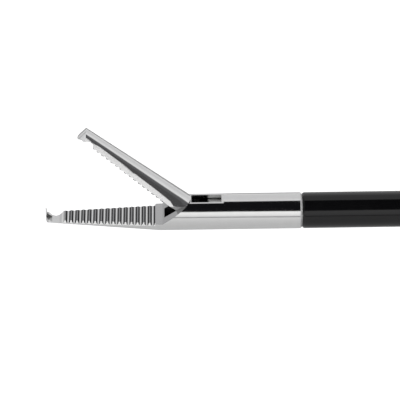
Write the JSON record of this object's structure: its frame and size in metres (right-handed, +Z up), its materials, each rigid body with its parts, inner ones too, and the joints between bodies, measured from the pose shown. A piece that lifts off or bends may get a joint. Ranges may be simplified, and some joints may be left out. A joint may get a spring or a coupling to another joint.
{
  "type": "laparoscopic grasper",
  "caption": "Slender ring-handled surgical grasper: black insulated shaft, polished hinged jaws with serrated faces and hooked tips, turning knob and cleaning port.",
  "frame": {"origin": "on the shaft axis at the front end of the insulated sleeve, just behind the jaw housing", "axes": "X runs along the shaft with the jaws towards -X and the handle towards +X, Z is up away from the finger loop, Y is the axis of the jaw pivot"},
  "size_m": [0.4332, 0.022, 0.1092],
  "materials": {
    "polished_steel": "polished stainless steel",
    "link_steel": "milled stainless steel",
    "pin_steel": "ground stainless steel",
    "tube_steel": "drawn stainless steel",
    "port_steel": "turned stainless steel",
    "black_insulation": "smooth shrunk-on polymer sleeve",
    "cap_rubber": "moulded silicone",
    "seal_rubber": "moulded silicone",
    "black_plastic": "fine-grained moulded polymer",
    "bush_plastic": "turned bearing polymer"
  },
  "bodies": {
    "handle": {"handle_left": "black_plastic", "handle_right": "black_plastic", "handle_screw_1": "pin_steel", "handle_screw_2": "pin_steel", "handle_screw_3": "pin_steel", "front_bush": "bush_plastic", "lever_pin": "pin_steel", "cautery_post": "port_steel"},
    "shaft": {"shaft_tube": "tube_steel", "insulation_sleeve": "black_insulation", "jaw_housing": "polished_steel", "jaw_pivot_pin": "pin_steel", "flush_collar": "port_steel", "shaft_hub": "port_steel", "hub_clip": "pin_steel", "rotation_knob": "black_plastic", "knob_screw": "pin_steel", "rod_seal": "seal_rubber"},
    "lever": {"thumb_lever": "black_plastic"},
    "rod": {"pull_rod": "tube_steel", "rod_tip": "link_steel", "rod_tip_pin": "pin_steel", "rod_ball": "pin_steel"},
    "jaw": {"upper_jaw": "polished_steel", "crank_pin": "pin_steel"},
    "link": {"jaw_link_left": "link_steel", "jaw_link_right": "link_steel"},
    "cap": {"flush_cap": "cap_rubber"}
  },
  "joints": [
    {"name": "shaft_spin", "type": "hinge", "parent": "handle", "child": "shaft", "pos_m": [0.3, 0, 0], "axis": [1, 0, 0], "continuous": true},
    {"name": "lever_pivot", "type": "hinge", "parent": "handle", "child": "lever", "pos_m": [0.338, 0, -0.0045], "axis": [0, 1, 0], "range_deg": [0, 15.52]},
    {"name": "rod_slide", "type": "slide", "parent": "shaft", "child": "rod", "axis": [1, 0, 0], "range_m": [0, 0.00122]},
    {"name": "jaw_pivot", "type": "hinge", "parent": "shaft", "child": "jaw", "pos_m": [-0.0157, 0, 0.0005], "axis": [0, 1, 0], "range_deg": [-43.21, 0]},
    {"name": "link_pivot", "type": "hinge", "parent": "jaw", "child": "link", "pos_m": [-0.01631, 0, -0.00103], "axis": [0, 1, 0], "range_deg": [0, 43.21]},
    {"name": "cap_pull", "type": "slide", "parent": "shaft", "child": "cap", "axis": [0, 0, 1], "range_m": [0, 0.012]}
  ],
  "couplings": [
    {"joint": "rod_slide", "follows": "lever_pivot", "m_per_rad": 0.0044863},
    {"joint": "jaw_pivot", "follows": "lever_pivot", "ratio": -2.7844},
    {"joint": "link_pivot", "follows": "lever_pivot", "ratio": 2.7844}
  ]
}
